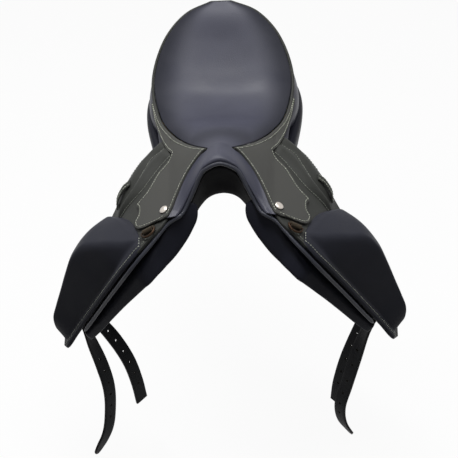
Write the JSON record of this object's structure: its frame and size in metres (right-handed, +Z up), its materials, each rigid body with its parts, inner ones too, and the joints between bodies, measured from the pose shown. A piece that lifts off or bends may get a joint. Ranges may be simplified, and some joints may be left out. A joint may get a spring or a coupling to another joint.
{
  "type": "dressage saddle",
  "caption": "Black leather dressage saddle with a deep dished seat, straight flaps with tall outside knee blocks, long hanging girth straps, stirrup bars and soft panels.",
  "frame": {"origin": "roof of the gullet channel at mid length, where a saddle rack or a horse's back carries the saddle", "axes": "-Y is forward to the pommel, +Z is up, +X is the rider's left"},
  "size_m": [0.5906, 0.5059, 0.6904],
  "materials": {
    "tree_wood": "laminated beech, oiled",
    "plate_steel": "plain steel",
    "webbing": "woven webbing",
    "foam": "cut foam",
    "seat_leather": "smooth, soft sheen",
    "facing_leather": "smooth",
    "panel_leather": "soft, fine grain",
    "flap_leather": "fine grain, matte",
    "block_leather": "soft, fine grain",
    "skirt_leather": "waxed, matte",
    "strap_leather": "firm, dyed through",
    "bar_steel": "forged, satin",
    "stud_steel": "brushed nickel",
    "dee_brass": "worn satin"
  },
  "bodies": {
    "saddle": {"tree": "tree_wood", "head_plate": "plate_steel", "tree_rivets": "plate_steel", "seat_webbing": "webbing", "seat_foam": "foam", "seat_cover": "seat_leather", "seat_welt": "seat_leather", "cantle_facing": "facing_leather", "pommel_facing": "seat_leather", "gullet_lining": "facing_leather", "front_piping": "facing_leather", "left_panel_cushion": "panel_leather", "left_panel_leg": "panel_leather", "left_sweat_flap": "panel_leather", "left_flap_top": "flap_leather", "left_skirt_top": "skirt_leather", "left_skirt_stud": "stud_steel", "left_stirrup_bar": "bar_steel", "left_catch_pin": "bar_steel", "left_girth_web": "webbing", "left_front_strap": "strap_leather", "left_rear_strap": "strap_leather", "left_dee_chape": "strap_leather", "right_panel_cushion": "panel_leather", "right_panel_leg": "panel_leather", "right_sweat_flap": "panel_leather", "right_flap_top": "flap_leather", "right_skirt_top": "skirt_leather", "right_skirt_stud": "stud_steel", "right_stirrup_bar": "bar_steel", "right_catch_pin": "bar_steel", "right_girth_web": "webbing", "right_front_strap": "strap_leather", "right_rear_strap": "strap_leather", "right_dee_chape": "strap_leather"},
    "left_flap": {"left_flap": "flap_leather", "left_knee_block_cover": "block_leather", "left_knee_block_core": "foam", "left_leather_keeper": "flap_leather"},
    "left_skirt": {"left_skirt_lower": "skirt_leather"},
    "left_catch": {"left_bar_catch": "bar_steel"},
    "left_front_tail": {"left_front_strap_tail": "strap_leather"},
    "left_rear_tail": {"left_rear_strap_tail": "strap_leather"},
    "left_dee": {"left_breastplate_dee": "dee_brass"},
    "right_flap": {"right_flap": "flap_leather", "right_knee_block_cover": "block_leather", "right_knee_block_core": "foam", "right_leather_keeper": "flap_leather"},
    "right_skirt": {"right_skirt_lower": "skirt_leather"},
    "right_catch": {"right_bar_catch": "bar_steel"},
    "right_front_tail": {"right_front_strap_tail": "strap_leather"},
    "right_rear_tail": {"right_rear_strap_tail": "strap_leather"},
    "right_dee": {"right_breastplate_dee": "dee_brass"}
  },
  "joints": [
    {"name": "left_flap_lift", "type": "hinge", "parent": "saddle", "child": "left_flap", "pos_m": [0.1398, -0.15, -0.00523], "axis": [-0.073, -0.994, -0.0814], "range_deg": [0, 65]},
    {"name": "left_skirt_lift", "type": "hinge", "parent": "saddle", "child": "left_skirt", "pos_m": [0.10082, -0.16, 0.02514], "axis": [-0.0547, -0.994, -0.0947], "range_deg": [0, 60]},
    {"name": "left_bar_catch_turn", "type": "hinge", "parent": "saddle", "child": "left_catch", "pos_m": [0.09786, -0.11351, 0.02001], "axis": [0.866, 0, -0.5], "range_deg": [0, 90]},
    {"name": "left_front_strap_swing", "type": "hinge", "parent": "saddle", "child": "left_front_tail", "pos_m": [0.2482, -0.186, -0.20249], "axis": [0, -1, 0], "range_deg": [-12, 12]},
    {"name": "left_rear_strap_swing", "type": "hinge", "parent": "saddle", "child": "left_rear_tail", "pos_m": [0.25201, -0.146, -0.20029], "axis": [0, -1, 0], "range_deg": [-12, 12]},
    {"name": "left_dee_swing", "type": "hinge", "parent": "saddle", "child": "left_dee", "pos_m": [0.11096, -0.2265, 0.0107], "axis": [-0.866, 0, 0.5], "range_deg": [0, 100]},
    {"name": "right_flap_lift", "type": "hinge", "parent": "saddle", "child": "right_flap", "pos_m": [-0.1398, -0.15, -0.00523], "axis": [-0.073, 0.994, 0.0814], "range_deg": [0, 65]},
    {"name": "right_skirt_lift", "type": "hinge", "parent": "saddle", "child": "right_skirt", "pos_m": [-0.10082, -0.16, 0.02514], "axis": [-0.0547, 0.994, 0.0947], "range_deg": [0, 60]},
    {"name": "right_bar_catch_turn", "type": "hinge", "parent": "saddle", "child": "right_catch", "pos_m": [-0.09786, -0.11351, 0.02001], "axis": [0.866, 0, 0.5], "range_deg": [0, 90]},
    {"name": "right_front_strap_swing", "type": "hinge", "parent": "saddle", "child": "right_front_tail", "pos_m": [-0.2482, -0.186, -0.20249], "axis": [0, 1, 0], "range_deg": [-12, 12]},
    {"name": "right_rear_strap_swing", "type": "hinge", "parent": "saddle", "child": "right_rear_tail", "pos_m": [-0.25201, -0.146, -0.20029], "axis": [0, 1, 0], "range_deg": [-12, 12]},
    {"name": "right_dee_swing", "type": "hinge", "parent": "saddle", "child": "right_dee", "pos_m": [-0.11096, -0.2265, 0.0107], "axis": [-0.866, 0, -0.5], "range_deg": [0, 100]}
  ]
}
